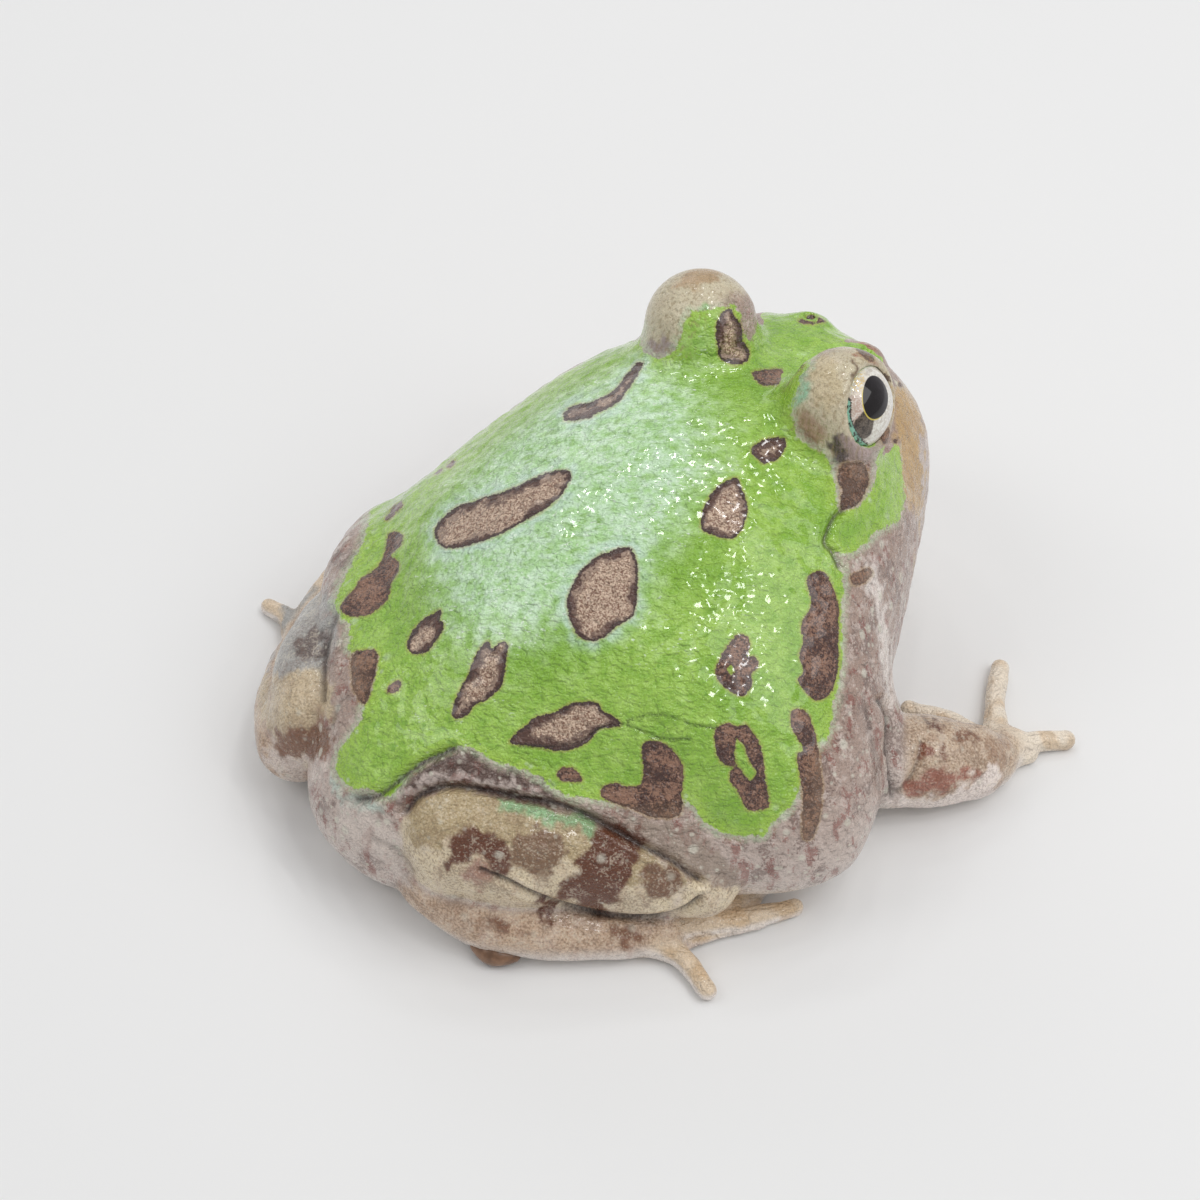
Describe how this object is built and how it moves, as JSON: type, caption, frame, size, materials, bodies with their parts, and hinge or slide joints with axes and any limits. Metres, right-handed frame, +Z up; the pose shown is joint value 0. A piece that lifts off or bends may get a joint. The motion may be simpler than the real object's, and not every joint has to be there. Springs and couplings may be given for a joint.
{
  "type": "argentine horned frog",
  "caption": "Life-size horned frog at rest: broad head with raised eyes and a wide mouth, domed squat body, folded hind legs, small splayed hands.",
  "frame": {"origin": "centre of the bottom of the model's box, on the surface that the frog rests on", "axes": "+Z up, snout towards -Y, the frog's left side towards +X"},
  "size_m": [0.0788, 0.0786, 0.0405],
  "materials": {
    "skin_back": "moist, finely warted skin, bright green with brown spots ringed dark and pale",
    "skin_limb": "moist, finely warted skin, lavender-brown with cream and dark brown bands",
    "eye": "wet gloss over a silvery iris with a black pupil",
    "keratin": "dull dark brown horn"
  },
  "bodies": {
    "root": {"head": "skin_back", "torso": "skin_back", "eye_left": "eye", "eye_right": "eye", "upper_arm_left": "skin_limb", "upper_arm_right": "skin_limb", "forearm_left": "skin_limb", "forearm_right": "skin_limb", "hand_left": "skin_limb", "hand_right": "skin_limb", "thigh_left": "skin_limb", "thigh_right": "skin_limb", "shank_left": "skin_limb", "shank_right": "skin_limb", "foot_left": "skin_limb", "foot_right": "skin_limb", "spade_left": "keratin", "spade_right": "keratin"}
  },
  "joints": []
}
